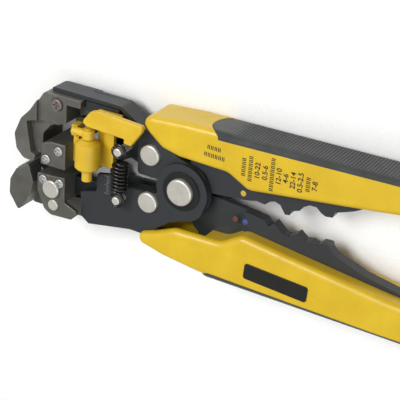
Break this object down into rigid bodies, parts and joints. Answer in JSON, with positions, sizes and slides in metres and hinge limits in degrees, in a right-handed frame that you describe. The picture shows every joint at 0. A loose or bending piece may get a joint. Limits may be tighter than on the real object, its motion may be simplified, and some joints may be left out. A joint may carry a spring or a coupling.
{
  "type": "self-adjusting wire stripper",
  "caption": "Self-adjusting wire stripper with gripping jaws, sliding blade carriages, wire stop, tension knob, crimping dies and cutter between two covered handles.",
  "frame": {"origin": "on the main pivot axis in the plane the tool rests on", "axes": "+X towards the handle ends, +Z along the main pivot axis, up, away from the resting plane"},
  "size_m": [0.2067, 0.07, 0.0255],
  "materials": {
    "yellow_plastic": "satin",
    "knob_plastic": "matte",
    "soft_grip": "matte",
    "cast_alloy": "satin",
    "nickel_steel": "polished",
    "screw_steel": "satin",
    "blade_steel": "satin",
    "black_oxide": "satin",
    "spring_wire": "satin",
    "black_print": "matte"
  },
  "bodies": {
    "lower_jaw": {"lower_jaw_channel": "black_oxide", "lower_gripping_jaw": "cast_alloy", "lower_jaw_screws": "screw_steel", "main_pivot_rivet": "nickel_steel", "main_pivot_washer": "black_oxide", "lower_cross_pin": "nickel_steel", "lower_spring_pin": "nickel_steel", "jaw_tension_spring": "spring_wire"},
    "upper_jaw": {"upper_jaw_channel": "black_oxide", "upper_gripping_jaw": "cast_alloy", "upper_jaw_screw": "screw_steel", "upper_cross_pin": "nickel_steel", "upper_spring_pin": "nickel_steel", "stop_rail": "black_oxide"},
    "upper_carriage": {"upper_blade_holder": "cast_alloy", "upper_cutting_blade": "blade_steel", "upper_blade_screws": "screw_steel", "upper_pull_bar": "black_oxide", "knob_bracket": "knob_plastic"},
    "knob": {"tension_knob": "knob_plastic"},
    "lower_carriage": {"lower_blade_holder": "cast_alloy", "lower_cutting_blade": "blade_steel", "lower_blade_screws": "screw_steel", "lower_holder_rivets": "nickel_steel", "lower_pull_bar": "black_oxide"},
    "stop": {"wire_stop": "knob_plastic"},
    "upper_handle": {"upper_handle_core": "black_oxide", "upper_cover_near": "yellow_plastic", "upper_cover_far": "yellow_plastic", "upper_grip": "soft_grip"},
    "lower_handle": {"lower_handle_core": "black_oxide", "lower_cover_near": "yellow_plastic", "lower_cover_far": "yellow_plastic", "lower_grip": "soft_grip", "blank_plate": "black_print"}
  },
  "joints": [
    {"name": "handle_squeeze", "type": "hinge", "parent": "lower_jaw", "child": "upper_handle", "pos_m": [0, 0, 0], "axis": [0, 0, 1], "range_deg": [-5.15, 0], "stiffness_Nm_per_rad": 6, "springref_deg": 6.88},
    {"name": "lower_handle_swing", "type": "hinge", "parent": "lower_jaw", "child": "lower_handle", "pos_m": [0, 0, 0], "axis": [0, 0, 1], "range_deg": [0, 5.15]},
    {"name": "upper_jaw_close", "type": "hinge", "parent": "lower_jaw", "child": "upper_jaw", "pos_m": [0, 0, 0], "axis": [0, 0, 1], "range_deg": [0, 0.92]},
    {"name": "upper_carriage_pull", "type": "slide", "parent": "upper_jaw", "child": "upper_carriage", "axis": [0.9907, -0.1357, 0], "range_m": [0, 0.005]},
    {"name": "lower_carriage_pull", "type": "slide", "parent": "lower_jaw", "child": "lower_carriage", "axis": [0.9907, 0.1357, 0], "range_m": [0, 0.005]},
    {"name": "knob_turn", "type": "hinge", "parent": "upper_carriage", "child": "knob", "pos_m": [-0.0438, 0.006, 0.0201], "axis": [0, 1, 0], "continuous": true},
    {"name": "wire_stop_slide", "type": "slide", "parent": "upper_jaw", "child": "stop", "axis": [1, 0, 0], "range_m": [-0.0035, 0]}
  ],
  "couplings": [
    {"joint": "lower_handle_swing", "follows": "handle_squeeze", "ratio": -1},
    {"joint": "upper_jaw_close", "follows": "handle_squeeze", "ratio": -0.178},
    {"joint": "upper_carriage_pull", "follows": "handle_squeeze", "m_per_rad": -0.055516},
    {"joint": "lower_carriage_pull", "follows": "handle_squeeze", "m_per_rad": -0.055516}
  ]
}
